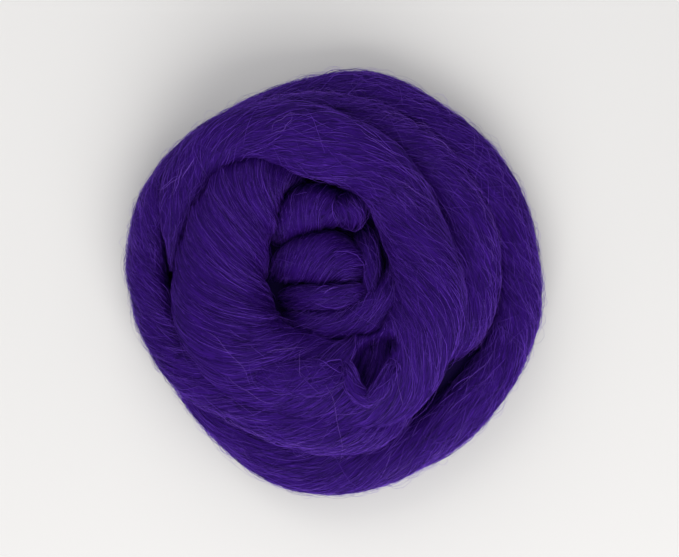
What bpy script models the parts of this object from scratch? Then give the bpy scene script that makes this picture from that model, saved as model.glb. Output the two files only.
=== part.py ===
"""A nest of wool roving: one soft rope of combed wool, wound into two outer turns with an inner turn on
top, its inner end folded to and fro in the hollow in the middle. The turns are felted together where they
touch, so the nest is one solid. Z is up, the origin is on the surface that the nest lies on, and +Y is its
top as seen from above."""

import math
from collections import namedtuple

import bmesh
import bpy
import numpy as np

MM = 0.001

# Driving dimensions, in millimetres.
STATION_STEP = 7.0  # the most between two sections along the rope
STEP_PER_WIDTH = 0.6  # a thinner fold has closer sections
SIDES = 24  # the corners of a section
SQUARENESS = 2.35  # 2 is an ellipse, and more is fuller at the shoulders
LOCKS = 4  # the twisted locks that ridge the rope
LOCK_RELIEF = 0.05  # the height of a ridge, as a share of the section
CUT_DEPTH = 20.0  # of the block that levels the underside
CUT_WIDTH = 300.0

# A turn's row: the compass angle (anticlockwise from +X, running on past 360), the rope's inner and outer
# edge as distances from the middle, the heights of its underside and its crown, and how many degrees its
# locks lean inwards from the rope's own direction at the crown, which is its twist.
Turn = namedtuple("Turn", "angle inner outer under crown lean")
# A fold's row: the rope's middle, its width, the heights of its underside and its crown, and the lean.
Fold = namedtuple("Fold", "x y width under crown lean")

# The rope's turns, from its outer end inwards. A sweep can't overlap itself, so the rope is swept in four
# runs: where one run carries on from another, each has a thinner end that stays inside the other.
TURNS = {}
# It starts at the lower left, under the next turn, and lies on the surface all the way round.
TURNS["outer_turn"] = (
    Turn(188, 54, 64, 1, 8, 15),
    Turn(200, 50, 70, -1, 13, 15),
    Turn(213, 50, 76, -1.5, 17, 15),
    Turn(225, 51, 78.5, -1.5, 19, 15),
    Turn(240, 52, 80.5, -1.5, 21, 15),
    Turn(255, 54, 83.5, -1.5, 22, 20),
    Turn(270, 57, 84.3, -1.5, 23, 35),
    Turn(285, 61, 82.5, -1.5, 24, 30),
    Turn(300, 61, 81.2, -1.5, 25, 20),
    Turn(315, 60, 81, -1.5, 26, 10),
    Turn(330, 62.3, 81.2, -1.5, 26, 10),
    Turn(345, 64.3, 82, -1.5, 25, 25),
    Turn(360, 64.5, 81.4, -1.5, 25, 28),
    Turn(375, 64.5, 81.2, -1.5, 25, 14),
    Turn(390, 64, 82, -1.5, 25, 12),
    Turn(404, 65.5, 82.4, -1.5, 24.5, 13),
    Turn(420, 65, 82.5, -1.5, 24, 14),
    Turn(440, 63, 85, -1.5, 25, 12),
    Turn(460, 60.5, 82.3, -1.5, 23, 6),
    Turn(480, 60, 81.3, -1.5, 21, 6),
    Turn(498, 68, 83.5, -1.5, 23, 12),
    Turn(512, 73, 85.4, -1.5, 25, 26),
    Turn(526, 71, 84.7, -1.5, 26.5, 33),
    Turn(541, 69.8, 81, 1, 25.2, 34),
)
# It climbs over its own start and goes round again, until it dives under the crossing turn.
TURNS["second_turn"] = (
    Turn(522, 72, 83.5, 0.5, 25.2, 33),
    Turn(534, 69, 83.7, -1.5, 27, 34),
    Turn(545, 66.2, 81.8, -1.5, 27, 34),
    Turn(560, 61, 79, 2, 29, 31),
    Turn(573, 52, 75.5, 8, 33, 28),
    Turn(585, 45, 69.5, 12, 36, 22),
    Turn(600, 42, 67.2, 12, 37, 22),
    Turn(630, 41, 67.5, 10, 37, 30),
    Turn(645, 41, 66.5, 8, 34, 30),
    Turn(660, 40, 60.5, 3, 25.5, 30),
    Turn(675, 40, 55.2, -1, 20, 26),
    Turn(687, 41, 56.5, -1.5, 21, 20),
    Turn(697, 42, 61, -1.5, 27.5, 22),
    Turn(720, 44, 65.2, -1.5, 29, 24),
    Turn(738, 46, 67.8, -1.5, 29.5, 18),
    Turn(755, 48, 69, 0, 29.5, 14),
    Turn(770, 51, 70.2, 3, 31, 22),
    Turn(785, 54.5, 71, 7, 32.5, 28),
    Turn(800, 57, 73.5, 10, 33.5, 16),
    Turn(814, 58, 75.5, 10, 33, 0),
    Turn(828, 60, 77.5, 9, 30, 0),
    Turn(842, 63, 77, 9, 25, 0),
    Turn(852, 66, 75, 12, 20, 0),
)

# The next turn lies on top: it comes out at the upper left, and goes round the hollow.
TURNS["inner_turn"] = (
    Turn(88, 46, 52, 8, 14, 45),
    Turn(98, 43, 57, 3, 17, 45),
    Turn(110, 41, 61, 2, 28, 48),
    Turn(122, 40, 64.5, 4, 37, 52),
    Turn(135, 35.5, 65.7, 6, 41, 55),
    Turn(150, 31.5, 64, 5, 43, 57),
    Turn(165, 29, 63.2, 5, 44, 57),
    Turn(180, 28, 64.4, 5, 45, 56),
    Turn(200, 26.5, 65.5, 6, 46, 50),
    Turn(215, 26, 64, 8, 46, 46),
    Turn(230, 24.5, 60, 8, 46, 40),
    Turn(250, 22, 57, 8, 45, 42),
    Turn(270, 21, 57, 8, 44, 46),
    Turn(285, 21, 60, 8, 44, 48),
    Turn(300, 22, 59.3, 8, 44, 42),
    Turn(315, 23, 55.6, 8, 45, 42),
    Turn(330, 23, 53.8, 8, 46, 38),
    Turn(345, 22, 52, 8, 46, 38),
    Turn(360, 22, 49.7, 8, 46, 36),
    Turn(375, 22.5, 48.8, 8, 46, 35),
    Turn(390, 24, 48.8, 9, 46, 30),
    Turn(405, 27, 50.5, 11, 46, 20),
    Turn(416, 30.5, 53.8, 13, 46.8, 21),
    Turn(429, 36.4, 56.2, 18.5, 45.5, 21),
)
# It crosses its own start, and thins out to a tail in the groove between the other turns.
TURNS["crossing_turn"] = (
    Turn(407, 30.2, 49, 13.5, 44.2, 21),
    Turn(420, 32, 55.2, 14, 47, 22),
    Turn(435, 36, 61, 18, 48, 20),
    Turn(450, 39.5, 66.8, 22, 48, 12),
    Turn(460, 43, 71, 24, 47, 12),
    Turn(470, 51, 74.8, 25, 46, 16),
    Turn(480, 58, 77.5, 24, 43, 12),
    Turn(490, 62, 80.2, 22, 39, 26),
    Turn(500, 63.5, 81, 19, 35, 24),
    Turn(510, 63.4, 78.5, 16, 33.5, 10),
    Turn(520, 63, 73.3, 13, 30, 0),
    Turn(529, 64, 68, 11, 25, 0),
    Turn(537, 65, 66, 12, 18, 0),
)

# The inner end lies folded to and fro in the hollow.
FOLDS = {
    "upper_fold": (
        Fold(-26, 14.5, 4, 8, 17, 48),
        Fold(-22.4, 18.4, 8.5, 7, 27, 50),
        Fold(-16.9, 25, 15.6, 5, 35, 53),
        Fold(-8, 30.2, 19.4, 5, 37, 58),
        Fold(0, 30, 16, 6, 33.5, 60),
        Fold(7, 29.6, 11.5, 8, 27.5, 52),
        Fold(12, 28, 6, 12, 20, 40),
    ),
    "curled_end": (
        Fold(3, 20.5, 6, 18, 27, 15),
        Fold(4, 23.8, 11.5, 14, 35.5, 25),
        Fold(4.6, 28.3, 14, 12, 38.3, 30),
        Fold(5, 33.2, 12.5, 14, 36.5, 30),
        Fold(5.4, 38, 7, 18, 29, 20),
    ),
    "middle_fold": (
        Fold(-28, 1, 5, 3, 16, 44),
        Fold(-20.5, 6, 14, 0, 30.5, 48),
        Fold(-14, 8.5, 20, -1, 35.5, 51),
        Fold(-7, 9.5, 22.5, -1, 37.5, 52),
        Fold(2, 8, 20, -1, 36.5, 50),
        Fold(8, 4, 15, 0, 33, 46),
        Fold(12, -1, 9, 3, 24, 40),
    ),
    "side_fold": (
        Fold(9, 24, 6, 8, 20, 0),
        Fold(11.5, 18, 8.5, 3, 27, 4),
        Fold(13, 10, 9.5, 0, 31, 6),
        Fold(13.5, 1, 9.5, 0, 32.5, 4),
        Fold(14, -8, 9, 2, 32.5, 0),
        Fold(13.5, -15, 7, 6, 28, 0),
    ),
    "lower_fold": (
        Fold(-24.5, -7, 5, 5, 17, 5),
        Fold(-18.5, -6.5, 10.5, 2, 27.5, 6),
        Fold(-9, -6, 12.5, 0, 35.5, 8),
        Fold(3, -5.5, 12.5, 0, 36.5, 8),
        Fold(11, -5, 10, 2, 33.5, 6),
        Fold(18, -6, 6, 6, 20, 4),
    ),
    "rim_fold": (
        Fold(-23, -13, 6, 4, 18, 15),
        Fold(-17, -15, 12, 1, 28, 20),
        Fold(-8, -16, 15.5, -1, 33.5, 24),
        Fold(5, -15.2, 18.5, -1, 36.5, 26),
        Fold(15, -11, 18.5, -1, 38.5, 20),
        Fold(22, -3.5, 14, 0, 37, 16),
        Fold(25, 6, 10, 3, 29, 12),
        Fold(24.5, 15, 7, 8, 22, 8),
    ),
    # A lock that has slipped off the inner turn lies in a loose lump along its crown.
    "loose_lock": (
        Fold(-36, -31, 6, 37, 43.5, 8),
        Fold(-27, -35, 12, 37.5, 47, 10),
        Fold(-15, -36.8, 14.5, 38, 48, 12),
        Fold(-3, -36, 13, 38, 48.2, 16),
        Fold(4.5, -34, 8, 38, 46.5, 14),
    ),
    # The lump's tip hooks round a small pocket.
    "hooked_tip": (
        Fold(2.5, -29.5, 4, 38, 44.5, 6),
        Fold(4.8, -35, 6, 38, 47.5, 8),
        Fold(7, -41, 6.5, 37, 48.2, 8),
        Fold(11.8, -45, 6.8, 37, 48.2, 8),
        Fold(16.6, -42, 6.6, 35, 48.2, 8),
        Fold(19.8, -37.4, 6, 34, 48.2, 6),
        Fold(22, -32.6, 5.6, 34, 47.4, 4),
        Fold(23.6, -28.6, 3.5, 36, 44, 4),
    ),
}
# The locks that lie on the crown, over the pocket's rim.
TOP_LOCKS = ("loose_lock", "hooked_tip")
# The pocket inside the hook: an egg on its end, with its middle, half width and half length, how it lies,
# and the height of its floor.
POCKET = {"x": 13.9, "y": -31.8, "half_width": 6.5, "half_length": 11.0, "turn": -12.0, "floor": 31.0}
POCKET_SPREAD = 0.6  # how much wider it is at its top end than in its middle, as a share of its width
POCKET_SLANT = 0.32  # how much further up its right side is than its middle, as a share of its length
POCKET_TOP = 62.0

# The felted middle, which fills the spaces between the turns without reaching the underside.
CORE = {"radius": 73.0, "crown_radius": 58.0, "under": 6.0, "crown": 20.0, "sides": 40}


def smooth_between(at, knots, values):
    """A curve through the values at the knots, with no corners, read at each place in at."""
    knots, values = np.asarray(knots, float), np.asarray(values, float)
    slopes = np.gradient(values, knots)
    i = np.clip(np.searchsorted(knots, at) - 1, 0, len(knots) - 2)
    span = knots[i + 1] - knots[i]
    t = (at - knots[i]) / span
    return (
        values[i] * (1 + 2 * t) * (1 - t) ** 2
        + slopes[i] * span * t * (1 - t) ** 2
        + values[i + 1] * t**2 * (3 - 2 * t)
        + slopes[i + 1] * span * t**2 * (t - 1)
    )


def turns_as_route(rows):
    """The rows of a coil as a fold's columns, five degrees apart."""
    angles = np.arange(rows[0].angle, rows[-1].angle + 0.1, 5.0)
    knots = [row.angle for row in rows]
    inner, outer, under, crown, lean = (
        smooth_between(angles, knots, [getattr(row, name) for row in rows])
        for name in ("inner", "outer", "under", "crown", "lean")
    )
    middle = (inner + outer) / 2
    turn = np.radians(angles)
    return np.stack([middle * np.cos(turn), middle * np.sin(turn), outer - inner, under, crown, lean], 1)


def stations(route):
    """The route's columns read again at even steps along its length."""
    lengths = np.concatenate([[0], np.cumsum(np.linalg.norm(np.diff(route[:, :2], axis=0), axis=1))])
    step = min(STATION_STEP, STEP_PER_WIDTH * route[:, 2].mean())
    count = max(4, round(lengths[-1] / step)) + 1
    along = np.linspace(0, lengths[-1], count)
    return np.stack([smooth_between(along, lengths, column) for column in route.T], 1)


def twist_at(rows):
    """How far round the rope its locks have turned at each station, in radians."""
    width, lean = rows[:, 2], np.radians(rows[:, 5])
    steps = np.linalg.norm(np.diff(rows[:, :2], axis=0), axis=1)
    turned_per_mm = np.tan(lean) / (width / 2)
    return np.concatenate([[0], np.cumsum(steps * (turned_per_mm[1:] + turned_per_mm[:-1]) / 2)])


def section(row, ahead, twist):
    """The corners of one section, square to the rope: x, y and z in metres."""
    x, y, width, under, crown = row[:5]
    across = np.array([ahead[1], -ahead[0]])  # to the right of the way the rope runs
    around = np.arange(SIDES) * 2 * math.pi / SIDES
    ridge = 1 + LOCK_RELIEF * np.cos(LOCKS * (around - twist))
    full = np.abs(np.cos(around)) ** SQUARENESS + np.abs(np.sin(around)) ** SQUARENESS
    reach = ridge / full ** (1 / SQUARENESS)
    side = reach * np.cos(around) * width / 2
    height = (under + crown) / 2 + reach * np.sin(around) * (crown - under) / 2
    corners = np.stack([x + side * across[0], y + side * across[1], height], 1)
    return corners * MM


def rope(name, route):
    """A closed sweep of sections along a route: rings bridged one to the next, and both ends filled."""
    rows = stations(route)
    ahead = np.gradient(rows[:, :2], axis=0)
    ahead /= np.linalg.norm(ahead, axis=1)[:, None]
    model = bmesh.new()
    previous = None
    for row, direction, twist in zip(rows, ahead, twist_at(rows)):
        ring = bmesh.ops.create_circle(model, segments=SIDES, radius=MM)["verts"]
        for vertex, corner in zip(ring, section(row, direction, twist)):
            vertex.co = corner
        edges = sorted({edge for vertex in ring for edge in vertex.link_edges}, key=lambda e: e.index)
        if previous is None:
            bmesh.ops.edgeloop_fill(model, edges=edges)
        else:
            bmesh.ops.bridge_loops(model, edges=previous + edges)
        previous = edges
    bmesh.ops.edgeloop_fill(model, edges=previous)
    return as_object(name, model)


def as_object(name, model):
    """A closed bmesh as an object of the scene, with its faces pointing out."""
    bmesh.ops.recalc_face_normals(model, faces=model.faces)
    mesh = bpy.data.meshes.new(name)
    model.to_mesh(mesh)
    model.free()
    mesh.shade_smooth()
    made = bpy.data.objects.new(name, mesh)
    bpy.context.scene.collection.objects.link(made)
    return made


def core():
    """A low round plug in the middle of the nest."""
    model = bmesh.new()
    depth = CORE["crown"] - CORE["under"]
    bmesh.ops.create_cone(
        model,
        cap_ends=True,
        segments=CORE["sides"],
        radius1=CORE["radius"] * MM,
        radius2=CORE["crown_radius"] * MM,
        depth=depth * MM,
    )
    bmesh.ops.translate(model, verts=model.verts, vec=(0, 0, (CORE["under"] + depth / 2) * MM))
    return as_object("core", model)


def pocket_cutter():
    """The hollow of the small pocket, as an egg shape that stands on its floor."""
    model = bmesh.new()
    bmesh.ops.create_icosphere(model, subdivisions=2, radius=1)
    for vertex in model.verts:
        vertex.co.x *= 1 + POCKET_SPREAD * vertex.co.y
        vertex.co.y += POCKET_SLANT * vertex.co.x
    tall = POCKET_TOP - POCKET["floor"]
    size = (POCKET["half_width"] * MM, POCKET["half_length"] * MM, tall * MM / 2)
    bmesh.ops.scale(model, verts=model.verts, vec=size)
    made = as_object("pocket_cutter", model)
    made.rotation_euler.z = math.radians(POCKET["turn"])
    made.location = (POCKET["x"] * MM, POCKET["y"] * MM, (POCKET["floor"] + tall / 2) * MM)
    return made


def underside_cutter():
    """The block that cuts the nest level where it lies."""
    model = bmesh.new()
    bmesh.ops.create_cube(model, size=1)
    bmesh.ops.scale(model, verts=model.verts, vec=(CUT_WIDTH * MM, CUT_WIDTH * MM, CUT_DEPTH * MM))
    bmesh.ops.translate(model, verts=model.verts, vec=(0, 0, -CUT_DEPTH * MM / 2))
    return as_object("underside_cutter", model)


def combine(target, others, operation):
    """Joins the others to target in one go, or cuts them away, and keeps them as hidden helpers."""
    helpers = bpy.data.collections.new(f"{operation.lower()} {others[0].name}")
    for other in others:
        other.hide_render = True
        other.display_type = "WIRE"
        helpers.objects.link(other)
    modifier = target.modifiers.new(helpers.name, "BOOLEAN")
    modifier.operation = operation
    modifier.solver = "EXACT"
    modifier.operand_type = "COLLECTION"
    modifier.collection = helpers


def wool():
    """Combed wool, dyed violet."""
    material = bpy.data.materials.new("wool")
    material.use_nodes = True
    shader = material.node_tree.nodes["Principled BSDF"]
    shader.inputs["Base Color"].default_value = (0.055, 0.016, 0.19, 1)
    shader.inputs["Roughness"].default_value = 0.75
    shader.inputs["Metallic"].default_value = 0.0
    return material


def build():
    for leftover in list(bpy.data.objects):
        bpy.data.objects.remove(leftover)
    nest = rope("roving_nest", turns_as_route(TURNS["outer_turn"]))
    joined = [rope(name, turns_as_route(rows)) for name, rows in TURNS.items() if name != "outer_turn"]
    joined += [rope(name, np.array(rows, float)) for name, rows in FOLDS.items() if name not in TOP_LOCKS]
    joined.append(core())
    combine(nest, joined, "UNION")
    combine(nest, [pocket_cutter()], "DIFFERENCE")
    combine(nest, [rope(name, np.array(FOLDS[name], float)) for name in TOP_LOCKS], "UNION")
    combine(nest, [underside_cutter()], "DIFFERENCE")
    nest.data.materials.append(wool())


build()
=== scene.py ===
# %% [markdown]
# # A nest of wool roving
# Roving is wool that has been washed, combed until its fibres lie side by side, and drawn out into a soft
# rope as thick as a thumb. Nobody ties it: it is wound loosely into a nest, and friction holds it. The
# frame that this script loads is the nest's true shape as one plain solid. The script dresses it from the
# inside out: a skin for each run of the rope, the combed fibres that cover the skin, and the stray hairs
# that stand off them.

import math
from collections import namedtuple

import bmesh
import bpy
import numpy as np
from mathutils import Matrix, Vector
from mathutils.bvhtree import BVHTree


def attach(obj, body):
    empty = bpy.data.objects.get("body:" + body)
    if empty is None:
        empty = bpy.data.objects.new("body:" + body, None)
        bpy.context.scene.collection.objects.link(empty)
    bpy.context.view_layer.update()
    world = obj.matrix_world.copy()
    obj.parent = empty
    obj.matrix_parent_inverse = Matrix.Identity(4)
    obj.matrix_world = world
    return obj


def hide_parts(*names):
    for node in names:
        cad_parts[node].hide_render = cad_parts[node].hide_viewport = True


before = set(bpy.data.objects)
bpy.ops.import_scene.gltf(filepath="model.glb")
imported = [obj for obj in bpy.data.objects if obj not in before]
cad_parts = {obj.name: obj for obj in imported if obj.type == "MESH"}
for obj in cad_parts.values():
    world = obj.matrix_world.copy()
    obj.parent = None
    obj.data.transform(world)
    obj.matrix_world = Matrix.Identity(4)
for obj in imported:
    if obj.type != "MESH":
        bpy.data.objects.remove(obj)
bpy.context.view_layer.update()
MM = 0.001  # every size below is in millimetres until it becomes a mesh

# %% [markdown]
# ## The camera
# A nest is round and flat, and shows best from straight above. A wide lens close to it would swell the
# crown and shrink the turns below, so this one is long and far off, and every turn keeps nearly the same
# scale. One pixel is 0.4 mm at the height of the outer turn, and the picture is 679 pixels wide, so those
# two and the lens give the distance. A camera looks down its own -Z with +Y up, so this one needs no
# turning at all.

# %% The camera
PIXELS_ACROSS = 679
MM_PER_PIXEL = 0.4
LENS = 150.0
SENSOR = 36.0
OUTER_TURN_HEIGHT = 12.0
LOOK_AT = (1.2, 1.8)  # the picture's middle, beside the nest's own
SIGHT_LIMIT = 20.0  # in metres, past everything there is

picture_width = PIXELS_ACROSS * MM_PER_PIXEL
distance = picture_width * LENS / SENSOR
camera = bpy.data.objects.new("camera", bpy.data.cameras.new("camera"))
camera.data.lens = LENS
camera.data.sensor_width = SENSOR
camera.data.clip_end = SIGHT_LIMIT
camera.location = (LOOK_AT[0] * MM, LOOK_AT[1] * MM, (distance + OUTER_TURN_HEIGHT) * MM)
bpy.context.scene.collection.objects.link(camera)
bpy.context.scene.camera = camera
print(f"the camera is {distance:.0f} mm above the outer turn, and sees {picture_width:.0f} mm across")

# %% [markdown]
# ## The light
# Wool has no hard highlights: it shows its fibres by the soft shade between them. A small lamp would cut
# black shadows into the grooves, and sky alone would flatten them. So one lamp as large as a window stands
# in front and shades every lock from the same side, a weak one behind keeps the far slopes from going
# black, and a dim sky fills the rest.

# %% The light
def area_lamp(name, place, watts, size):
    """A square lamp at a place in metres, turned to the middle of the nest."""
    lamp = bpy.data.objects.new(name, bpy.data.lights.new(name, "AREA"))
    lamp.data.energy = watts
    lamp.data.size = size
    lamp.location = place
    lamp.rotation_euler = (-Vector(place)).to_track_quat("-Z", "Y").to_euler()
    bpy.context.scene.collection.objects.link(lamp)
    return lamp


lamps = (
    area_lamp("key_lamp", (0.12, -0.8, 0.62), watts=17.2, size=1.1),
    area_lamp("fill_lamp", (-0.25, 0.65, 0.55), watts=4.4, size=0.9),
)
SKY_COLOUR = (0.95, 0.96, 1.0, 1)
SKY_STRENGTH = 0.76
sky = bpy.data.worlds.new("sky")
sky.use_nodes = True
sky.node_tree.nodes["Background"].inputs["Color"].default_value = SKY_COLOUR
sky.node_tree.nodes["Background"].inputs["Strength"].default_value = SKY_STRENGTH
bpy.context.scene.world = sky
bpy.context.scene.view_settings.view_transform = "Standard"
print("lamps:", {lamp.name: f"{lamp.data.energy:.1f} W" for lamp in lamps}, "and a sky of", SKY_STRENGTH)

# %% [markdown]
# ## The floor
# The nest lies on something, and its soft shadow there shows how it rests. A plain pale sheet is enough,
# and it throws some light back up under the rope. It is a grid of one face, left out of the nest's body,
# because it is no part of the nest.

# %% The floor
FLOOR_HALF = 3.0  # in metres
PAPER = (0.50, 0.49, 0.475, 1)
PAPER_ROUGHNESS = 0.9

model = bmesh.new()
bmesh.ops.create_grid(model, x_segments=1, y_segments=1, size=FLOOR_HALF)
floor_mesh = bpy.data.meshes.new("floor")
model.to_mesh(floor_mesh)
model.free()
floor = bpy.data.objects.new("floor", floor_mesh)
bpy.context.scene.collection.objects.link(floor)

paper = bpy.data.materials.new("floor_paper")
paper.use_nodes = True
paper.node_tree.nodes["Principled BSDF"].inputs["Base Color"].default_value = PAPER
paper.node_tree.nodes["Principled BSDF"].inputs["Roughness"].default_value = PAPER_ROUGHNESS
floor.data.materials.append(paper)
print("the floor is", FLOOR_HALF * 2, "m wide")

# %% [markdown]
# ## The rope's route
# The rope has the same route here as in the solid, so the tables are the same: a row for each change of the
# rope's width, height or twist. A run that goes round is given by compass angle, because a nest is wound
# round its middle. The folds in the hollow are short and lie every way, so their rows are plain places.

# %% The rope's route
# A turn's row: the compass angle (anticlockwise from +X, running on past 360), the rope's inner and outer
# edge as distances from the middle, the heights of its underside and its crown, and how many degrees its
# locks lean inwards from the rope's own direction at the crown, which is its twist.
Turn = namedtuple("Turn", "angle inner outer under crown lean")
# A fold's row: the rope's middle, its width, the heights of its underside and its crown, and the lean.
Fold = namedtuple("Fold", "x y width under crown lean")

# The rope's turns, from its outer end inwards. A sweep can't overlap itself, so the rope is swept in four
# runs: where one run carries on from another, each has a thinner end that stays inside the other.
TURNS = {}
# It starts at the lower left, under the next turn, and lies on the surface all the way round.
TURNS["outer_turn"] = (
    Turn(188, 54, 64, 1, 8, 15),
    Turn(200, 50, 70, -1, 13, 15),
    Turn(213, 50, 76, -1.5, 17, 15),
    Turn(225, 51, 78.5, -1.5, 19, 15),
    Turn(240, 52, 80.5, -1.5, 21, 15),
    Turn(255, 54, 83.5, -1.5, 22, 20),
    Turn(270, 57, 84.3, -1.5, 23, 35),
    Turn(285, 61, 82.5, -1.5, 24, 30),
    Turn(300, 61, 81.2, -1.5, 25, 20),
    Turn(315, 60, 81, -1.5, 26, 10),
    Turn(330, 62.3, 81.2, -1.5, 26, 10),
    Turn(345, 64.3, 82, -1.5, 25, 25),
    Turn(360, 64.5, 81.4, -1.5, 25, 28),
    Turn(375, 64.5, 81.2, -1.5, 25, 14),
    Turn(390, 64, 82, -1.5, 25, 12),
    Turn(404, 65.5, 82.4, -1.5, 24.5, 13),
    Turn(420, 65, 82.5, -1.5, 24, 14),
    Turn(440, 63, 85, -1.5, 25, 12),
    Turn(460, 60.5, 82.3, -1.5, 23, 6),
    Turn(480, 60, 81.3, -1.5, 21, 6),
    Turn(498, 68, 83.5, -1.5, 23, 12),
    Turn(512, 73, 85.4, -1.5, 25, 26),
    Turn(526, 71, 84.7, -1.5, 26.5, 33),
    Turn(541, 69.8, 81, 1, 25.2, 34),
)
# It climbs over its own start and goes round again, until it dives under the crossing turn.
TURNS["second_turn"] = (
    Turn(522, 72, 83.5, 0.5, 25.2, 33),
    Turn(534, 69, 83.7, -1.5, 27, 34),
    Turn(545, 66.2, 81.8, -1.5, 27, 34),
    Turn(560, 61, 79, 2, 29, 31),
    Turn(573, 52, 75.5, 8, 33, 28),
    Turn(585, 45, 69.5, 12, 36, 22),
    Turn(600, 42, 67.2, 12, 37, 22),
    Turn(630, 41, 67.5, 10, 37, 30),
    Turn(645, 41, 66.5, 8, 34, 30),
    Turn(660, 40, 60.5, 3, 25.5, 30),
    Turn(675, 40, 55.2, -1, 20, 26),
    Turn(687, 41, 56.5, -1.5, 21, 20),
    Turn(697, 42, 61, -1.5, 27.5, 22),
    Turn(720, 44, 65.2, -1.5, 29, 24),
    Turn(738, 46, 67.8, -1.5, 29.5, 18),
    Turn(755, 48, 69, 0, 29.5, 14),
    Turn(770, 51, 70.2, 3, 31, 22),
    Turn(785, 54.5, 71, 7, 32.5, 28),
    Turn(800, 57, 73.5, 10, 33.5, 16),
    Turn(814, 58, 75.5, 10, 33, 0),
    Turn(828, 60, 77.5, 9, 30, 0),
    Turn(842, 63, 77, 9, 25, 0),
    Turn(852, 66, 75, 12, 20, 0),
)

# The next turn lies on top: it comes out at the upper left, and goes round the hollow.
TURNS["inner_turn"] = (
    Turn(88, 46, 52, 8, 14, 45),
    Turn(98, 43, 57, 3, 17, 45),
    Turn(110, 41, 61, 2, 28, 48),
    Turn(122, 40, 64.5, 4, 37, 52),
    Turn(135, 35.5, 65.7, 6, 41, 55),
    Turn(150, 31.5, 64, 5, 43, 57),
    Turn(165, 29, 63.2, 5, 44, 57),
    Turn(180, 28, 64.4, 5, 45, 56),
    Turn(200, 26.5, 65.5, 6, 46, 50),
    Turn(215, 26, 64, 8, 46, 46),
    Turn(230, 24.5, 60, 8, 46, 40),
    Turn(250, 22, 57, 8, 45, 42),
    Turn(270, 21, 57, 8, 44, 46),
    Turn(285, 21, 60, 8, 44, 48),
    Turn(300, 22, 59.3, 8, 44, 42),
    Turn(315, 23, 55.6, 8, 45, 42),
    Turn(330, 23, 53.8, 8, 46, 38),
    Turn(345, 22, 52, 8, 46, 38),
    Turn(360, 22, 49.7, 8, 46, 36),
    Turn(375, 22.5, 48.8, 8, 46, 35),
    Turn(390, 24, 48.8, 9, 46, 30),
    Turn(405, 27, 50.5, 11, 46, 20),
    Turn(416, 30.5, 53.8, 13, 46.8, 21),
    Turn(429, 36.4, 56.2, 18.5, 45.5, 21),
)
# It crosses its own start, and thins out to a tail in the groove between the other turns.
TURNS["crossing_turn"] = (
    Turn(407, 30.2, 49, 13.5, 44.2, 21),
    Turn(420, 32, 55.2, 14, 47, 22),
    Turn(435, 36, 61, 18, 48, 20),
    Turn(450, 39.5, 66.8, 22, 48, 12),
    Turn(460, 43, 71, 24, 47, 12),
    Turn(470, 51, 74.8, 25, 46, 16),
    Turn(480, 58, 77.5, 24, 43, 12),
    Turn(490, 62, 80.2, 22, 39, 26),
    Turn(500, 63.5, 81, 19, 35, 24),
    Turn(510, 63.4, 78.5, 16, 33.5, 10),
    Turn(520, 63, 73.3, 13, 30, 0),
    Turn(529, 64, 68, 11, 25, 0),
    Turn(537, 65, 66, 12, 18, 0),
)

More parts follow.
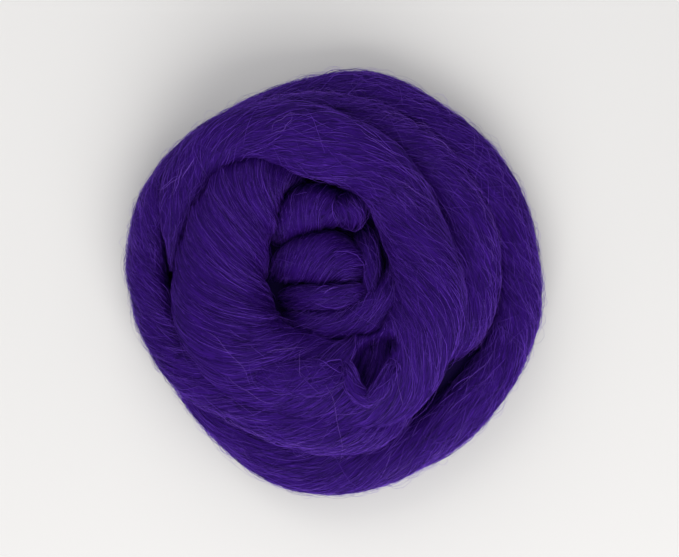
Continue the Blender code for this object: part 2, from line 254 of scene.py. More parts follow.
# The inner end lies folded to and fro in the hollow.
FOLDS = {
    "upper_fold": (
        Fold(-26, 14.5, 4, 8, 17, 48),
        Fold(-22.4, 18.4, 8.5, 7, 27, 50),
        Fold(-16.9, 25, 15.6, 5, 35, 53),
        Fold(-8, 30.2, 19.4, 5, 37, 58),
        Fold(0, 30, 16, 6, 33.5, 60),
        Fold(7, 29.6, 11.5, 8, 27.5, 52),
        Fold(12, 28, 6, 12, 20, 40),
    ),
    "curled_end": (
        Fold(3, 20.5, 6, 18, 27, 15),
        Fold(4, 23.8, 11.5, 14, 35.5, 25),
        Fold(4.6, 28.3, 14, 12, 38.3, 30),
        Fold(5, 33.2, 12.5, 14, 36.5, 30),
        Fold(5.4, 38, 7, 18, 29, 20),
    ),
    "middle_fold": (
        Fold(-28, 1, 5, 3, 16, 44),
        Fold(-20.5, 6, 14, 0, 30.5, 48),
        Fold(-14, 8.5, 20, -1, 35.5, 51),
        Fold(-7, 9.5, 22.5, -1, 37.5, 52),
        Fold(2, 8, 20, -1, 36.5, 50),
        Fold(8, 4, 15, 0, 33, 46),
        Fold(12, -1, 9, 3, 24, 40),
    ),
    "side_fold": (
        Fold(9, 24, 6, 8, 20, 0),
        Fold(11.5, 18, 8.5, 3, 27, 4),
        Fold(13, 10, 9.5, 0, 31, 6),
        Fold(13.5, 1, 9.5, 0, 32.5, 4),
        Fold(14, -8, 9, 2, 32.5, 0),
        Fold(13.5, -15, 7, 6, 28, 0),
    ),
    "lower_fold": (
        Fold(-24.5, -7, 5, 5, 17, 5),
        Fold(-18.5, -6.5, 10.5, 2, 27.5, 6),
        Fold(-9, -6, 12.5, 0, 35.5, 8),
        Fold(3, -5.5, 12.5, 0, 36.5, 8),
        Fold(11, -5, 10, 2, 33.5, 6),
        Fold(18, -6, 6, 6, 20, 4),
    ),
    "rim_fold": (
        Fold(-23, -13, 6, 4, 18, 15),
        Fold(-17, -15, 12, 1, 28, 20),
        Fold(-8, -16, 15.5, -1, 33.5, 24),
        Fold(5, -15.2, 18.5, -1, 36.5, 26),
        Fold(15, -11, 18.5, -1, 38.5, 20),
        Fold(22, -3.5, 14, 0, 37, 16),
        Fold(25, 6, 10, 3, 29, 12),
        Fold(24.5, 15, 7, 8, 22, 8),
    ),
    # A lock that has slipped off the inner turn lies in a loose lump along its crown.
    "loose_lock": (
        Fold(-36, -31, 6, 37, 43.5, 8),
        Fold(-27, -35, 12, 37.5, 47, 10),
        Fold(-15, -36.8, 14.5, 38, 48, 12),
        Fold(-3, -36, 13, 38, 48.2, 16),
        Fold(4.5, -34, 8, 38, 46.5, 14),
    ),
    # The lump's tip hooks round a small pocket.
    "hooked_tip": (
        Fold(2.5, -29.5, 4, 38, 44.5, 6),
        Fold(4.8, -35, 6, 38, 47.5, 8),
        Fold(7, -41, 6.5, 37, 48.2, 8),
        Fold(11.8, -45, 6.8, 37, 48.2, 8),
        Fold(16.6, -42, 6.6, 35, 48.2, 8),
        Fold(19.8, -37.4, 6, 34, 48.2, 6),
        Fold(22, -32.6, 5.6, 34, 47.4, 4),
        Fold(23.6, -28.6, 3.5, 36, 44, 4),
    ),
}
# The locks that lie on the crown, over the pocket's rim.
TOP_LOCKS = ("loose_lock", "hooked_tip")
# The pocket inside the hook: an egg on its end, with its middle, half width and half length, how it lies,
# and the height of its floor.
POCKET = {"x": 13.9, "y": -31.8, "half_width": 6.5, "half_length": 11.0, "turn": -12.0, "floor": 31.0}
POCKET_SPREAD = 0.6  # how much wider it is at its top end than in its middle, as a share of its width
POCKET_SLANT = 0.32  # how much further up its right side is than its middle, as a share of its length

print("rows:", {name: len(rows) for name, rows in {**TURNS, **FOLDS}.items()})

# %% [markdown]
# ## A curve through the rows
# A bent rope has no corners, so a size between two rows can't be read off a straight line. A curve of
# Blender's own could do it for the rope's middle, but not for its width, height and twist. This function
# does the same for any column: it passes through each row's value, with the slope that the rows beside it
# suggest.

# %% A curve through the rows
def smooth_between(at, knots, values):
    """A curve through the values at the knots, with no corners, read at each place in at."""
    knots, values = np.asarray(knots, float), np.asarray(values, float)
    slopes = np.gradient(values, knots)
    i = np.clip(np.searchsorted(knots, at) - 1, 0, len(knots) - 2)
    span = knots[i + 1] - knots[i]
    t = (at - knots[i]) / span
    return (
        values[i] * (1 + 2 * t) * (1 - t) ** 2
        + slopes[i] * span * t * (1 - t) ** 2
        + values[i + 1] * t**2 * (3 - 2 * t)
        + slopes[i + 1] * span * t**2 * (t - 1)
    )


print("half way between rows of 0, 0, 10 and 10:", smooth_between(1.5, range(4), (0, 0, 10, 10)))

# %% [markdown]
# ## From rows to a rope
# A sweep needs to know, at any distance along the rope, where its middle is, which way it runs, how wide
# and thick it is and how far its locks have turned. Working that out once, every half millimetre, makes the
# rest quick: the skin and the fibres both ask the same rope where its surface is, so they can't drift
# apart.

# %% From rows to a rope
FINE_STEP = 0.5
ROUTE_STEP = 5.0  # degrees between the places where a turn is read
Rope = namedtuple("Rope", "name along columns length seed")
# What a rope's columns hold, at each FINE_STEP along it.
Along = namedtuple("Along", "x y width under crown ahead_x ahead_y twist")


def turns_as_route(rows):
    """The rows of a coil as a fold's columns, a few degrees apart."""
    angles = np.arange(rows[0].angle, rows[-1].angle + 0.1, ROUTE_STEP)
    knots = [row.angle for row in rows]
    inner, outer, under, crown, lean = (
        smooth_between(angles, knots, [getattr(row, name) for row in rows])
        for name in ("inner", "outer", "under", "crown", "lean")
    )
    middle = (inner + outer) / 2
    turn = np.radians(angles)
    return np.stack([middle * np.cos(turn), middle * np.sin(turn), outer - inner, under, crown, lean], 1)


def lay_rope(name, route, seed):
    """The rope along a route, worked out at every FINE_STEP of its length."""
    chords = np.linalg.norm(np.diff(route[:, :2], axis=0), axis=1)
    lengths = np.concatenate([[0], np.cumsum(chords)])
    along = np.arange(0, lengths[-1], FINE_STEP)
    x, y, width, under, crown, lean = (smooth_between(along, lengths, column) for column in route.T)
    ahead = np.stack([np.gradient(x), np.gradient(y)], 1)
    ahead /= np.linalg.norm(ahead, axis=1)[:, None]
    twist = np.cumsum(np.tan(np.radians(lean)) / (width / 2)) * FINE_STEP
    columns = np.stack(Along(x, y, width, under, crown, ahead[:, 0], ahead[:, 1], twist))
    return Rope(name, along, columns, along[-1], seed)


def read_rope(rope, along):
    """The rope's columns at each distance along it."""
    return Along(*(np.interp(along, rope.along, column) for column in rope.columns))


ropes = {}
for name, rows in TURNS.items():
    ropes[name] = lay_rope(name, turns_as_route(rows), seed=len(ropes))
for name, rows in FOLDS.items():
    ropes[name] = lay_rope(name, np.array(rows, float), seed=len(ropes))
print("rope in mm:", {name: round(rope.length) for name, rope in ropes.items()})

# %% [markdown]
# ## The locks
# Combed fibres gather in locks, from broad ones that the eye reads as the rope's twist down to ones of a
# millimetre, and all of them run with the twist. A noise texture could raise them, but it knows nothing of
# the twist. Here each size of lock is one cosine round the section, turned with the rope, and slow changes
# along it keep any two places from looking alike.

# %% The locks
FULL_WIDTH = 30.0  # a rope this wide has locks at their full height
# A lock's row: how many go round the rope, their height, and the length over which they change.
Lock = namedtuple("Lock", "count height change")
LOCKS = (
    Lock(4, 0.62, 240.0),
    Lock(3, 0.30, 90.0),
    Lock(7, 0.26, 70.0),
    Lock(11, 0.17, 60.0),
    Lock(16, 0.12, 45.0),
    Lock(23, 0.10, 38.0),
)
LOCK_SEED = 100  # the first rope's seed for where its locks start
BROADEST_STARTS = (0, 0.6, 0)  # the broadest locks start here on every rope, as the solid's do
SWAY = 0.8  # how far a lock wanders round the rope, in radians of its own wave
SWELL, SWELL_LENGTH = 0.25, 0.6  # how much a lock's height changes, and over what share of its length


def lock_height(rope, along, around_locks):
    """How far the locks stand out at each place, in mm, on a rope of the full width."""
    draw = np.random.default_rng(rope.seed + LOCK_SEED)
    height = np.zeros_like(along)
    for lock in LOCKS:
        starts = draw.uniform(0, 2 * np.pi, 3)
        if lock is LOCKS[0]:
            starts[:] = BROADEST_STARTS
        sway = SWAY * np.sin(2 * np.pi * along / lock.change + starts[1])
        wave = 2 * np.pi * along / (lock.change * SWELL_LENGTH) + starts[2]
        swell = (1 - SWELL) + SWELL * np.sin(wave)
        height += lock.height * swell * np.cos(lock.count * around_locks + starts[0] + sway)
    return height


print("locks stand out by at most", round(sum(lock.height for lock in LOCKS), 2), "mm")

# %% [markdown]
# ## The rope's surface
# A roving's section isn't round: under its own weight it is a soft oval, fuller at the shoulders than an
# ellipse, which is what a superellipse gives. Everything that lies on the rope asks one function for its
# place, by how far along and how far round it is, and how high it lies. At one spot the end of the rope has
# left a small pocket between the turns, and whatever crosses it is pressed down by the same function.

# %% The rope's surface
SQUARENESS = 2.35  # 2 is an ellipse, and more is fuller at the shoulders
LEAST_HALF = 0.01  # keeps the rope's very tip from dividing by nothing
# The pocket's wall runs from its lip to its foot, in half widths from its middle.
POCKET_LIP = 1.15
POCKET_WALL = 0.72


def press_pocket(places):
    """The places with those over the small pocket pressed down into it."""
    turn = math.radians(POCKET["turn"])
    east, north = places[..., 0] - POCKET["x"], places[..., 1] - POCKET["y"]
    along = (north * math.cos(turn) - east * math.sin(turn)) / POCKET["half_length"]
    across = (east * math.cos(turn) + north * math.sin(turn)) / POCKET["half_width"]
    along -= POCKET_SLANT * across
    across /= 1 + POCKET_SPREAD * np.clip(along, -1, 1)
    from_middle = np.hypot(across, along)
    share = np.clip((POCKET_LIP - from_middle) / (POCKET_LIP - POCKET_WALL), 0, 1)
    share = share**2 * (3 - 2 * share)
    pressed = places.copy()
    pressed[..., 2] -= share * np.maximum(places[..., 2] - POCKET["floor"], 0)
    return pressed


def on_rope(rope, along, around, lift, shrink=1.0):
    """Places on the rope, in mm: so far along it and round it, and lifted off its surface."""
    x, y, width, under, crown, ahead_x, ahead_y, twist = read_rope(rope, along)
    cos, sin = np.cos(around), np.sin(around)
    reach = (np.abs(cos) ** SQUARENESS + np.abs(sin) ** SQUARENESS) ** (-1 / SQUARENESS)
    u, v = reach * cos, reach * sin
    half_width, half_thick = width / 2 * shrink, (crown - under) / 2 * shrink
    out_u = np.sign(u) * np.abs(u) ** (SQUARENESS - 1) / np.maximum(half_width, LEAST_HALF)
    out_v = np.sign(v) * np.abs(v) ** (SQUARENESS - 1) / np.maximum(half_thick, LEAST_HALF)
    out = np.hypot(out_u, out_v)
    proud = lift + shrink * lock_height(rope, along, around - twist) * width / FULL_WIDTH
    side = u * half_width + proud * out_u / out
    height = (under + crown) / 2 + v * half_thick + proud * out_v / out
    places = np.stack([x + side * ahead_y, y - side * ahead_x, height], -1)
    return places if rope.name in TOP_LOCKS else press_pocket(places)


top_rope = ropes["inner_turn"]
ridge = on_rope(top_rope, top_rope.along, np.full_like(top_rope.along, np.pi / 2), 0.0)
print("the inner turn's ridge is", round(ridge[:, 2].max(), 1), "mm high")

# %% [markdown]
# ## The wool's colours
# All of it is one dyed wool. Dye takes unevenly, and light is lost between fibres, so the eye sees a run of
# shades: nearly black in the gaps, deep in the mass, and paler in single hairs that catch the light. A
# colour ramp lays these shades out in order, so besides the dye's unevenness its dark end is painted shade
# and its pale end painted highlight. The streaks that choose between them are a node group, so that colour
# and bump share one noise, and the dark streaks lie in the bump's grooves. It reads where the fibres run,
# and so is drawn out along them.

# %% The wool's colours
# The deepest colour here is only used for painted shade at the bottom of the gaps.
DEEP_SHADE = (0.0026, 0.0003, 0.016, 1)
VALLEY = (0.0056, 0.0004, 0.034, 1)
BODY = (0.0222, 0.0026, 0.116, 1)
BRIGHT = (0.106, 0.034, 0.385, 1)
PALE = (0.215, 0.100, 0.520, 1)
STREAK_DETAIL = 3.0
STREAK_ROUGHNESS = 0.65


def new_node(tree, kind, place, **settings):
    """A node of this kind at a place in the editor, with its settings made."""
    node = tree.nodes.new(kind)
    node.location = place
    for name, value in settings.items():
        setattr(node, name, value)
    return node


def combed_group():
    """Fine streaks along the fibres: how bright they are, and their height."""
    group = bpy.data.node_groups.new("combed_streaks", "ShaderNodeTree")
    group.interface.new_socket("Lie", in_out="INPUT", socket_type="NodeSocketVector")
    group.interface.new_socket("Fineness", in_out="INPUT", socket_type="NodeSocketFloat")
    group.interface.new_socket("Streak", in_out="OUTPUT", socket_type="NodeSocketFloat")
    entry = new_node(group, "NodeGroupInput", (-600, 0))
    fine = new_node(group, "ShaderNodeTexNoise", (-300, 100))
    fine.inputs["Detail"].default_value = STREAK_DETAIL
    fine.inputs["Roughness"].default_value = STREAK_ROUGHNESS
    leave = new_node(group, "NodeGroupOutput", (0, 0))
    group.links.new(entry.outputs["Lie"], fine.inputs["Vector"])
    group.links.new(entry.outputs["Fineness"], fine.inputs["Scale"])
    group.links.new(fine.outputs["Fac"], leave.inputs["Streak"])
    return group


def blend_colours(tree, stops, place):
    """A colour ramp with these stops, each a position and a colour."""
    ramp = new_node(tree, "ShaderNodeValToRGB", place)
    elements = ramp.color_ramp.elements
    elements[0].position, elements[0].color = stops[0]
    elements[1].position, elements[1].color = stops[-1]
    for position, colour in stops[1:-1]:
        elements.new(position).color = colour
    return ramp


combed_streaks = combed_group()
print("shared streaks:", [socket.name for socket in combed_streaks.interface.items_tree])

# %% [markdown]
# ## The finish of packed wool
# The skin stands for the mass of fibres under those that can be told apart. It is matt and a little uneven.
# A picture of wool could be wrapped round it, but would stretch at every bend, so its streaks come from the
# noise, and the same noise raises them as bump. Pressed wool, deep in the nest, is the same with darker
# stops, and their darkness is painted shade, for the shade at the bottom of the gaps.

# %% The finish of packed wool
SKIN_ROUGHNESS = 0.7
SKIN_SPECULAR = 0.05
STREAK_FINENESS = 2.6
STREAK_HEIGHT = 0.25
STREAK_STRENGTH = 0.8


def skin_finish(name, stops):
    """Packed wool, seen between the fibres."""
    material = bpy.data.materials.new(name)
    material.use_nodes = True
    tree = material.node_tree
    shader = tree.nodes["Principled BSDF"]
    shader.inputs["Roughness"].default_value = SKIN_ROUGHNESS
    shader.inputs["Specular IOR Level"].default_value = SKIN_SPECULAR
    lie = new_node(tree, "ShaderNodeAttribute", (-1000, 0), attribute_name="combed")
    streaks = new_node(tree, "ShaderNodeGroup", (-800, 0), node_tree=combed_streaks)
    streaks.inputs["Fineness"].default_value = STREAK_FINENESS
    ramp = blend_colours(tree, stops, (-500, 100))
    bump = new_node(tree, "ShaderNodeBump", (-500, -200))
    bump.inputs["Distance"].default_value = STREAK_HEIGHT * MM
    bump.inputs["Strength"].default_value = STREAK_STRENGTH
    tree.links.new(lie.outputs["Vector"], streaks.inputs["Lie"])
    tree.links.new(streaks.outputs["Streak"], ramp.inputs["Fac"])
    tree.links.new(ramp.outputs["Color"], shader.inputs["Base Color"])
    tree.links.new(streaks.outputs["Streak"], bump.inputs["Height"])
    tree.links.new(bump.outputs["Normal"], shader.inputs["Normal"])
    return material


# Dark stop: painted shade in the streaks' grooves; bright stop: painted highlight on their ridges.
packed_wool = skin_finish("packed_wool", ((0.3, VALLEY), (0.62, BODY), (0.8, BRIGHT)))
# Darker stops for the felted middle: painted shade at the bottom of the gaps.
painted_shade_wool = skin_finish("painted_shade_wool", ((0.3, DEEP_SHADE), (0.8, VALLEY)))
print("finishes:", packed_wool.name, "and", painted_shade_wool.name)

# %% [markdown]
# ## The finish of loose fibres
# A loose fibre is a real shape here, so it needs no bump, only colour. Wool is never quite one shade, and a
# material for each shade would be wasteful. So each fibre keeps its own shade as a number in its UV map,
# and one material turns that number into a colour.

# %% The finish of loose fibres
FIBRE_MAP = "OFBake"  # the UV map with each fibre's shade across it
FIBRE_ROUGHNESS = 0.5
FIBRE_SPECULAR = 0.09


def fibre_finish(name, stops):
    """Loose wool fibres, each with the shade that its UV map gives it."""
    material = bpy.data.materials.new(name)
    material.use_nodes = True
    tree = material.node_tree
    shader = tree.nodes["Principled BSDF"]
    shader.inputs["Roughness"].default_value = FIBRE_ROUGHNESS
    shader.inputs["Specular IOR Level"].default_value = FIBRE_SPECULAR
    shade = new_node(tree, "ShaderNodeUVMap", (-900, 0), uv_map=FIBRE_MAP)
    split = new_node(tree, "ShaderNodeSeparateXYZ", (-700, 0))
    ramp = blend_colours(tree, stops, (-500, 100))
    tree.links.new(shade.outputs["UV"], split.inputs["Vector"])
    tree.links.new(split.outputs["X"], ramp.inputs["Fac"])
    tree.links.new(ramp.outputs["Color"], shader.inputs["Base Color"])
    return material


# Its dark end is painted shade and its pale end painted light, chosen by each fibre's shade.
combed_wool = fibre_finish("combed_wool", ((0.0, VALLEY), (0.45, BODY), (0.9, BRIGHT), (1.0, PALE)))
print("finish:", combed_wool.name)

# %% [markdown]
# ## The skins
# Under the fibres that show, the rope is more fibres, packed until they look solid. One closed skin for
# each run stands for them. A curve with a bevel would be quicker, but its section can't change from a round
# rope to a flat one. So a skin starts as a flat grid, because a grid's rows and columns are just what a
# rope has: its rows become stations along the rope and its columns go round it. Every corner moves to its
# place, the seam and the two ends are merged, and the sheet has become a closed rope. The skin also stores
# where its fibres run, as a point attribute. Two of its numbers go round with the locks and the third goes
# along, much compressed, which is what draws the streaks out.

# %% The skins
SKIN_STEP = 2.3
SKIN_SIDES = 74
FOLD_SIDES = SKIN_SIDES * 2 // 3
LEAST_STATIONS = 10
END_ROUNDING = 9.0  # how far from its end the rope starts to close
FLOOR_GAP = 0.05  # the lowest that any wool goes
LAYER_GAP = 0.1  # how much higher each rope's flat underside lies than the last one's, so that none coincide
STRETCH = 22.0  # fibres are this much longer in the noise than they are wide
MERGE = 1e-7


def make_object(name, mesh, material):
    """A finished piece: its object sits at the origin, and it takes the place of the solid nest."""
    made = bpy.data.objects.new(name, mesh)
    bpy.context.scene.collection.objects.link(made)
    mesh.materials.append(material)
    mesh.shade_smooth()
    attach(made, "root")
    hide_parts("roving_nest")
    return made


def rounded_ends(rope, along):
    """1 along the rope, falling to 0 at both ends as a rounded tip does."""
    from_end = np.clip(np.minimum(along, rope.length - along) / END_ROUNDING, 0, 1)
    return np.sqrt(1 - (1 - from_end) ** 2)


def make_skin(rope, material):
    """The closed skin of one turn or fold."""
    stations = max(LEAST_STATIONS, round(rope.length / SKIN_STEP))
    sides = SKIN_SIDES if rope.name in TURNS else FOLD_SIDES
    model = bmesh.new()
    bmesh.ops.create_grid(model, x_segments=sides, y_segments=stations, size=0.5)
    flat = np.array([vertex.co[:2] for vertex in model.verts]) + 0.5
    along, around = flat[:, 1] * rope.length, flat[:, 0] * 2 * np.pi
    places = on_rope(rope, along, around, 0.0, rounded_ends(rope, along))
    places[:, 2] = np.maximum(places[:, 2], FLOOR_GAP + LAYER_GAP * rope.seed)
    locks = around - read_rope(rope, along).twist
    radius = FULL_WIDTH / 2
    combed = np.stack([radius * np.cos(locks), radius * np.sin(locks), along / STRETCH], 1)
    layer = model.verts.layers.float_vector.new("combed")
    for vertex, place, lie in zip(model.verts, places, combed):
        vertex.co = place * MM
        vertex[layer] = lie
    bmesh.ops.remove_doubles(model, verts=model.verts, dist=MERGE)
    bmesh.ops.recalc_face_normals(model, faces=model.faces)
    mesh = bpy.data.meshes.new(f"{rope.name}_skin")
    model.to_mesh(mesh)
    model.free()
    return make_object(f"{rope.name}_skin", mesh, material)


skins = [make_skin(rope, packed_wool) for rope in ropes.values()]
print(len(skins), "skins:", sum(len(skin.data.polygons) for skin in skins) * 2, "triangles")

# %% [markdown]
# ## The felted middle
# Under the folds the wool is pressed into a solid mass. From above it shows only as darkness at the bottom
# of the gaps, and from below as a flat sole of ordinary wool. More rope could fill the place, but nobody
# would see its turns. A low cone is enough for the first and a thin one for the second, and their own
# combed attribute lets them share the skins' finish. The first takes the darker stops: painted shade, for
# the darkness at the bottom of the gaps.

# %% The felted middle
# A cone's row: its radius at its underside and at its crown, and the heights of both.
Cone = namedtuple("Cone", "under_radius crown_radius under crown")
MIDDLE = Cone(72.5, 57, 5, 19)
SOLE = Cone(71.5, 72, 3.6, 4.9)
CONE_SIDES = 64


def make_cone(name, cone, material):
    """A low cone of pressed wool inside the nest."""
    model = bmesh.new()
    depth = cone.crown - cone.under
    bmesh.ops.create_cone(
        model,
        cap_ends=True,
        segments=CONE_SIDES,
        radius1=cone.under_radius * MM,
        radius2=cone.crown_radius * MM,
        depth=depth * MM,
    )
    bmesh.ops.translate(model, verts=model.verts, vec=(0, 0, (cone.under + depth / 2) * MM))
    layer = model.verts.layers.float_vector.new("combed")
    for vertex in model.verts:
        vertex[layer] = (vertex.co.x / MM, vertex.co.z / MM, vertex.co.y / MM / STRETCH)
    bmesh.ops.recalc_face_normals(model, faces=model.faces)
    mesh = bpy.data.meshes.new(name)
    model.to_mesh(mesh)
    model.free()
    return make_object(name, mesh, material)


# The middle cone's darker finish is painted shade at the bottom of the gaps.
make_cone("felted_middle", MIDDLE, painted_shade_wool)
make_cone("felted_sole", SOLE, packed_wool)
print("the felted middle reaches", MIDDLE.crown, "mm up, and the sole", SOLE.crown)

# %% [markdown]
# ## Fibres as shapes
# A wool fibre is far thinner than a pixel, so each shape here is a small bundle of them, a tenth to a third
# of a millimetre thick. Blender's hair could grow them, but hair isn't a mesh, and an operator for each
# fibre would take minutes for thousands of them. So all of them are made at once, as arrays with a row for
# each fibre, and joined into one mesh. Each is a three-sided tube with a handful of rings, its ends tapered
# and closed.

# %% Fibres as shapes
TUBE_SIDES = 3
SHADE_STRIP = 1 / 64  # how much of the UV map's width one fibre takes
TINY = 1e-9


def fibre_triangles(rings):
    """How many triangles one fibre has: two for each side between rings, and its two ends."""
    return (rings - 1) * TUBE_SIDES * 2 + 2


def tube_corners(lines, up, radii):
    """The corners of each fibre's rings, in mm, with one corner of each ring on its upper side."""
    ahead = np.gradient(lines, axis=1)
    side = np.cross(ahead, up)
    side /= np.linalg.norm(side, axis=2)[:, :, None] + TINY
    above = np.cross(side, ahead)
    above /= np.linalg.norm(above, axis=2)[:, :, None] + TINY
    turn = 2 * np.pi * np.arange(TUBE_SIDES) / TUBE_SIDES + np.pi / 2
    ring = side[:, :, None] * np.cos(turn)[:, None] + above[:, :, None] * np.sin(turn)[:, None]
    corners = lines[:, :, None] + ring * radii[:, :, None, None]
    corners[..., 2] = np.maximum(corners[..., 2], FLOOR_GAP)
    return corners


def tubes_mesh(name, lines, up, radii, shades):
    """One mesh of closed tubes: lines is fibre by ring by place, in mm, and up is the way they face."""
    count, rings = lines.shape[:2]
    corners = tube_corners(lines, up, radii)
    number = np.arange(count * rings * TUBE_SIDES).reshape(count, rings, TUBE_SIDES)
    onward = np.roll(number, -1, axis=2)
    quads = np.stack([number[:, :-1], onward[:, :-1], onward[:, 1:], number[:, 1:]], -1).reshape(-1, 4)
    caps = np.concatenate([number[:, 0, ::-1], number[:, -1]])

    mesh = bpy.data.meshes.new(name)
    mesh.vertices.add(number.size)
    mesh.vertices.foreach_set("co", (corners * MM).astype(np.float32).ravel())
    loops = np.concatenate([quads.ravel(), caps.ravel()])
    mesh.loops.add(loops.size)
    mesh.loops.foreach_set("vertex_index", loops.astype(np.int32))
    starts = np.concatenate([np.arange(len(quads)) * 4, len(quads) * 4 + np.arange(len(caps)) * TUBE_SIDES])
    mesh.polygons.add(len(starts))
    mesh.polygons.foreach_set("loop_start", starts.astype(np.int32))
    mesh.update(calc_edges=True)

    corner_of = loops % TUBE_SIDES
    ring_of = loops // TUBE_SIDES % rings
    fibre_of = loops // (TUBE_SIDES * rings)
    u = shades[fibre_of] * (1 - SHADE_STRIP) + SHADE_STRIP * corner_of / (TUBE_SIDES - 1)
    v = ring_of / (rings - 1)
    layer = mesh.uv_layers.new(name=FIBRE_MAP)
    layer.uv.foreach_set("vector", np.stack([u, v], 1).astype(np.float32).ravel())
    mesh.validate()
    return mesh


print("a fibre of 5 rings has", fibre_triangles(5), "triangles, and one of 11 has", fibre_triangles(11))

# %% [markdown]
# ## What the nest hides
# Most of a rope's surface touches the rope beside it or the floor, and fibres there would never be seen.
# The solid from the frame knows what is inside the nest, and a search tree over its faces answers quickly
# how deep any place is.

# %% What the nest hides
nest_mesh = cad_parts["roving_nest"].data
solid_tree = BVHTree.FromPolygons(
    [vertex.co for vertex in nest_mesh.vertices],
    [face.vertices for face in nest_mesh.polygons],
)


def depth_inside(places):
    """How far inside the solid nest each place is, in mm. It is below 0 outside."""
    flat = places.reshape(-1, 3) * MM
    depth = np.empty(len(flat))
    for i, place in enumerate(flat):
        near, normal, _, _ = solid_tree.find_nearest(place)
        depth[i] = -(Vector(place) - near).dot(normal) / MM
    return depth.reshape(places.shape[:-1])


print("the solid has", len(nest_mesh.polygons), "faces to search")

# %% [markdown]
# ## Combing the fibres on
# A fibre starts anywhere on a turn and runs with its locks, a little off them, because combing is never
# perfect. It rises out of the skin, lies on it and dives back in, so no end shows. Real wool is thickest
# with its longest fibres near the rope and hazy outside it, so it is laid in coats: thick bundles low down,
# finer ones over them, a few long strays, and short fuzz along the outline, where it shows against the
# floor. Each coat in the table is paler than the one before it: painted shade low down, painted light
# higher up, and the palest fuzz is a painted glow along the outline.

# %% Combing the fibres on
# A coat's row: how many fibres for each square centimetre of skin, their rings, thickness and length, how
# high they lie, how far they stray in degrees, the height of their crimp, how pale they are from 0 to 1, and
# how far round from the rope's outer side they may be, in degrees.
Coat = namedtuple("Coat", "name density rings thickness length lift stray crimp pale around")
# The coats are paler the higher they lie: painted shade on the low bundles, painted light on those above.
COATS = (
    Coat("underfibres", 17.5, 5, 0.26, 15.0, 0.15, 9.0, 0.22, 0.38, 180.0),
    Coat("overfibres", 16.0, 6, 0.16, 14.0, 0.45, 14.0, 0.42, 0.60, 180.0),
    Coat("stray_hairs", 1.0, 11, 0.08, 24.0, 1.1, 26.0, 1.00, 0.64, 180.0),
    # The fuzz is the palest coat: painted light, for the glow along the outline against the floor.
    Coat("outline_fuzz", 26.0, 5, 0.07, 8.0, 1.0, 14.0, 0.30, 0.85, 65.0),
)
# Each of these is a range, or a share, of what the coat's row says.
LENGTHS = (0.5, 1.4)
THICKNESSES = (0.6, 1.4)
CRIMPS = (0.3, 1.6)
LIFT_SPREAD = (2.0, 0.5)  # many fibres lie low and a few much higher
LONGEST = 0.7  # of the rope's length
CRIMP_LENGTHS = (12, 26)  # mm from wave to wave
CRIMP_UP, CRIMP_UP_PACE = 0.5, 0.8  # a fibre's waves also go up and down, less high and more slowly
BOW = 0.10  # how far a fibre bows sideways, as a share of its length
END_CLEAR = 1.0  # how far fibres keep from the rope's ends
DIVE, DIVE_CURVE = 0.35, 0.6  # how deep a fibre's ends go into the skin, and how suddenly
TIP, TIP_CURVE = 0.25, 0.5  # how thick a fibre's ends are, and how suddenly they thin
SHADE_SPREAD = 10.0  # a higher number makes the fibres of one coat more alike
STRAY_TAIL = 4.0  # a lower number lets a few fibres stray much further than the rest
TANGLED = {"loose_lock": 2.6, "curled_end": 1.6}  # how many times as far as the rest their fibres stray
MOST_STRAY = 65.0
HIDDEN_DEPTH = 1.3  # deeper than this in the solid, a ring of a fibre can't be seen
LEAST_SEEN = 0.34  # a fibre with a smaller share of its rings in sight is left out
LOWEST_FIBRE = 1.5


def wander_along(rope, coat, count, draw):
    """How far along, round and off the rope each ring of each fibre is."""
    t = np.linspace(0, 1, coat.rings)[None, :]
    length = coat.length * draw.uniform(*LENGTHS, (count, 1))
    length = np.minimum(length, rope.length * LONGEST)
    middle = draw.uniform(0, rope.length, (count, 1))
    along = np.clip(middle + (t - 0.5) * length, END_CLEAR, rope.length - END_CLEAR)
    here = read_rope(rope, along)
    strays = coat.stray * TANGLED.get(rope.name, 1.0) * draw.standard_t(STRAY_TAIL, (count, 1))
    stray = np.tan(np.radians(strays.clip(-MOST_STRAY, MOST_STRAY)))
    bow = draw.normal(0, BOW, (count, 1)) * length
    wave = coat.crimp * draw.uniform(*CRIMPS, (count, 1))
    waves = length / draw.uniform(*CRIMP_LENGTHS, (count, 1))
    start = draw.uniform(0, 2 * np.pi, (count, 1))
    phase = 2 * np.pi * waves * t
    sideways = stray * (t - 0.5) * length + bow * (t - 0.5) ** 2 + wave * np.sin(phase + start)
    side = np.radians(coat.around) * draw.uniform(-1, 1, (count, 1)) - read_rope(rope, middle).twist
    around = side + sideways / (here.width / 2) + here.twist
    rise = np.sin(np.pi * t) ** DIVE_CURVE
    lift = coat.lift * draw.gamma(*LIFT_SPREAD, (count, 1)) * rise
    lift += CRIMP_UP * wave * np.cos(phase * CRIMP_UP_PACE + start) * rise - DIVE * (1 - rise)
    return along, around, lift


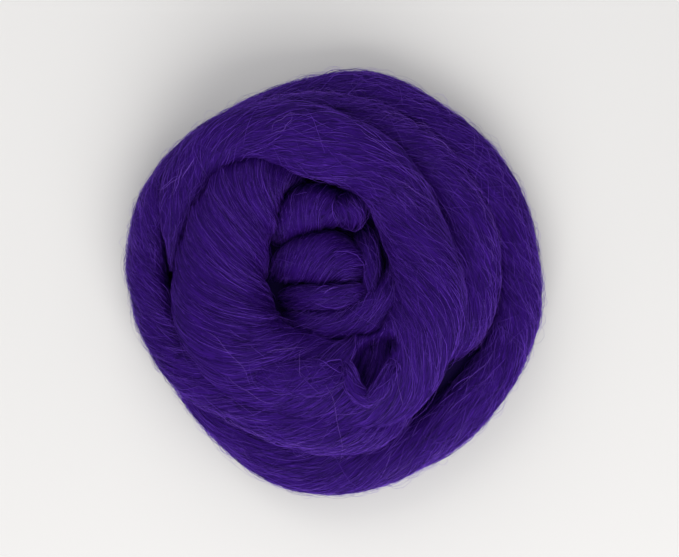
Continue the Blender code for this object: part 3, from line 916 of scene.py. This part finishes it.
def comb(rope, coat, draw):
    """The lines, facings, radii and shades of one rope's fibres in one coat."""
    whole = Along(*rope.columns)
    width, thick = whole.width.mean(), (whole.crown - whole.under).mean()
    skin_area = rope.length * np.pi * (width + thick) / 2 / 100  # in square centimetres
    count = int(coat.density * skin_area * coat.around / 180)
    along, around, lift = wander_along(rope, coat, count, draw)
    lines = on_rope(rope, along, around, lift)
    above = on_rope(rope, along, around, lift + 1.0) - lines
    kept = (depth_inside(lines) < HIDDEN_DEPTH).mean(axis=1) > LEAST_SEEN
    kept &= lines[..., 2].mean(axis=1) > LOWEST_FIBRE
    taper = TIP + (1 - TIP) * np.sin(np.pi * np.linspace(0, 1, coat.rings)[None, :]) ** TIP_CURVE
    radii = coat.thickness / 2 * draw.uniform(*THICKNESSES, (count, 1)) * taper
    # Each fibre's shade is drawn about its coat's paleness, so it carries the coats' painted shade and
    # light.
    shades = draw.beta(SHADE_SPREAD * coat.pale, SHADE_SPREAD * (1 - coat.pale), count)
    return lines[kept], above[kept], radii[kept], shades[kept]


print("coats, from the skin outwards:", [coat.name for coat in COATS])

# %% [markdown]
# ## The coats in place
# Every run gets its own piece for each coat, and the short folds share one, so that each piece stays small
# enough to handle. Only the two outside turns are ever seen against the floor, so only they get the fuzz.

# %% The coats in place
OUTLINE_TURNS = ("outer_turn", "second_turn")
SEED_STEP = 7


def make_coat(name, coat, members):
    """One piece with the fibres of one coat on several ropes."""
    draw = np.random.default_rng(sum(rope.seed for rope in members) * SEED_STEP + coat.rings)
    parts = [comb(rope, coat, draw) for rope in members]
    lines, up, radii, shades = (np.concatenate(column) for column in zip(*parts))
    make_object(name, tubes_mesh(name, lines, up, radii, shades), combed_wool)
    triangles = len(lines) * fibre_triangles(coat.rings)
    print(f"{name}: {len(lines)} fibres, {triangles} triangles")
    return triangles


total = 0
for coat in COATS:
    at_outline = coat.name == "outline_fuzz"
    for name in OUTLINE_TURNS if at_outline else TURNS:
        total += make_coat(f"{name}_{coat.name}", coat, [ropes[name]])
    if not at_outline:
        total += make_coat(f"fold_{coat.name}", coat, [ropes[name] for name in FOLDS])
print("fibres in all:", total, "triangles")

# %% [markdown]
# ## The long hairs
# A few long pale hairs have worked loose and lie across the turns, wherever they fell. Chance wouldn't put
# them where they look right, so each is placed one by one, by its two ends. A ray cast down at each of its
# rings finds the wool that it lies on, and its stiffness carries it over the grooves.

# %% The long hairs
# A hair's row: where it starts and ends, how far it bows to its right, and how high its middle stands.
Hair = namedtuple("Hair", "x0 y0 x1 y1 bow rise")
LONG_HAIRS = (
    Hair(-4.5, -39, 1.5, -71, -2.5, 1.0),
    Hair(-43, -35, -24, -47, 2.0, 0.6),
    Hair(-13.4, -25.5, -13.2, -37, 1.2, 0.8),
    Hair(-27, -26.8, -11, -25.4, -0.8, 0.8),
    Hair(-61, 42, -70, 34.5, 1.6, 1.6),
    Hair(-60.5, 44, -71, 37, -1.8, 1.8),
    Hair(-62, 47, -66, 33, -1.2, 1.4),
    Hair(-24, 59, -18, 67, 3.0, 1.2),
    Hair(-25, 58, -14, 65, -3.5, 1.0),
    Hair(8, 62, 27, 49, 2.0, 0.8),
    Hair(20, 40, 41, 27, -2.5, 0.9),
    Hair(43, -44, 62, -27, 2.0, 0.8),
    Hair(-53, -18, -34, -39, -3.0, 0.8),
    Hair(24, -34, 29.5, -58, 1.5, 0.5),
)
HAIR_RINGS = 24
HAIR_THICKNESS = 0.10
HAIR_TIP = 0.3
# Nearly the palest shade: painted light, as a single hair catches it.
HAIR_SHADE = 0.98
HAIR_GAP = 0.35  # how far its lowest rings lie off the wool
HAIR_SWAY = 0.25  # how far it sways, as a share of its bow
CAST_FROM = 80.0


def bridge_grooves(heights):
    """The heights with a hair's stiffness: it bridges a groove instead of following it down."""
    bridged = heights.copy()
    for _ in range(HAIR_RINGS):
        bridged[1:-1] = np.maximum(heights[1:-1], (bridged[:-2] + bridged[2:]) / 2)
    return bridged


def lay_hair(hair):
    """The places of one hair's rings, and straight up as the way that each ring faces."""
    t = np.linspace(0, 1, HAIR_RINGS)[:, None]
    start, end = np.array([hair.x0, hair.y0]), np.array([hair.x1, hair.y1])
    span = end - start
    right = np.array([span[1], -span[0]]) / np.linalg.norm(span)
    sway = HAIR_SWAY * hair.bow * np.sin(3 * np.pi * t)
    flat = start + span * t + right * (hair.bow * np.sin(np.pi * t) + sway)
    heights = []
    for east, north in flat:
        struck = solid_tree.ray_cast(Vector((east, north, CAST_FROM)) * MM, Vector((0, 0, -1)))
        heights.append(struck[0].z / MM if struck[0] else 0.0)
    lying = bridge_grooves(np.array(heights)) + HAIR_GAP
    place = np.column_stack([flat, lying + hair.rise * np.sin(np.pi * t[:, 0])])
    return place, np.tile((0.0, 0.0, 1.0), (HAIR_RINGS, 1))


places, facings = (np.array(column) for column in zip(*(lay_hair(hair) for hair in LONG_HAIRS)))
taper = HAIR_TIP + (1 - HAIR_TIP) * np.sin(np.pi * np.linspace(0, 1, HAIR_RINGS)) ** TIP_CURVE
radii = np.tile(HAIR_THICKNESS / 2 * taper, (len(LONG_HAIRS), 1))
shades = np.full(len(LONG_HAIRS), HAIR_SHADE)
make_object("long_hairs", tubes_mesh("long_hairs", places, facings, radii, shades), combed_wool)
print("long hairs:", len(LONG_HAIRS))
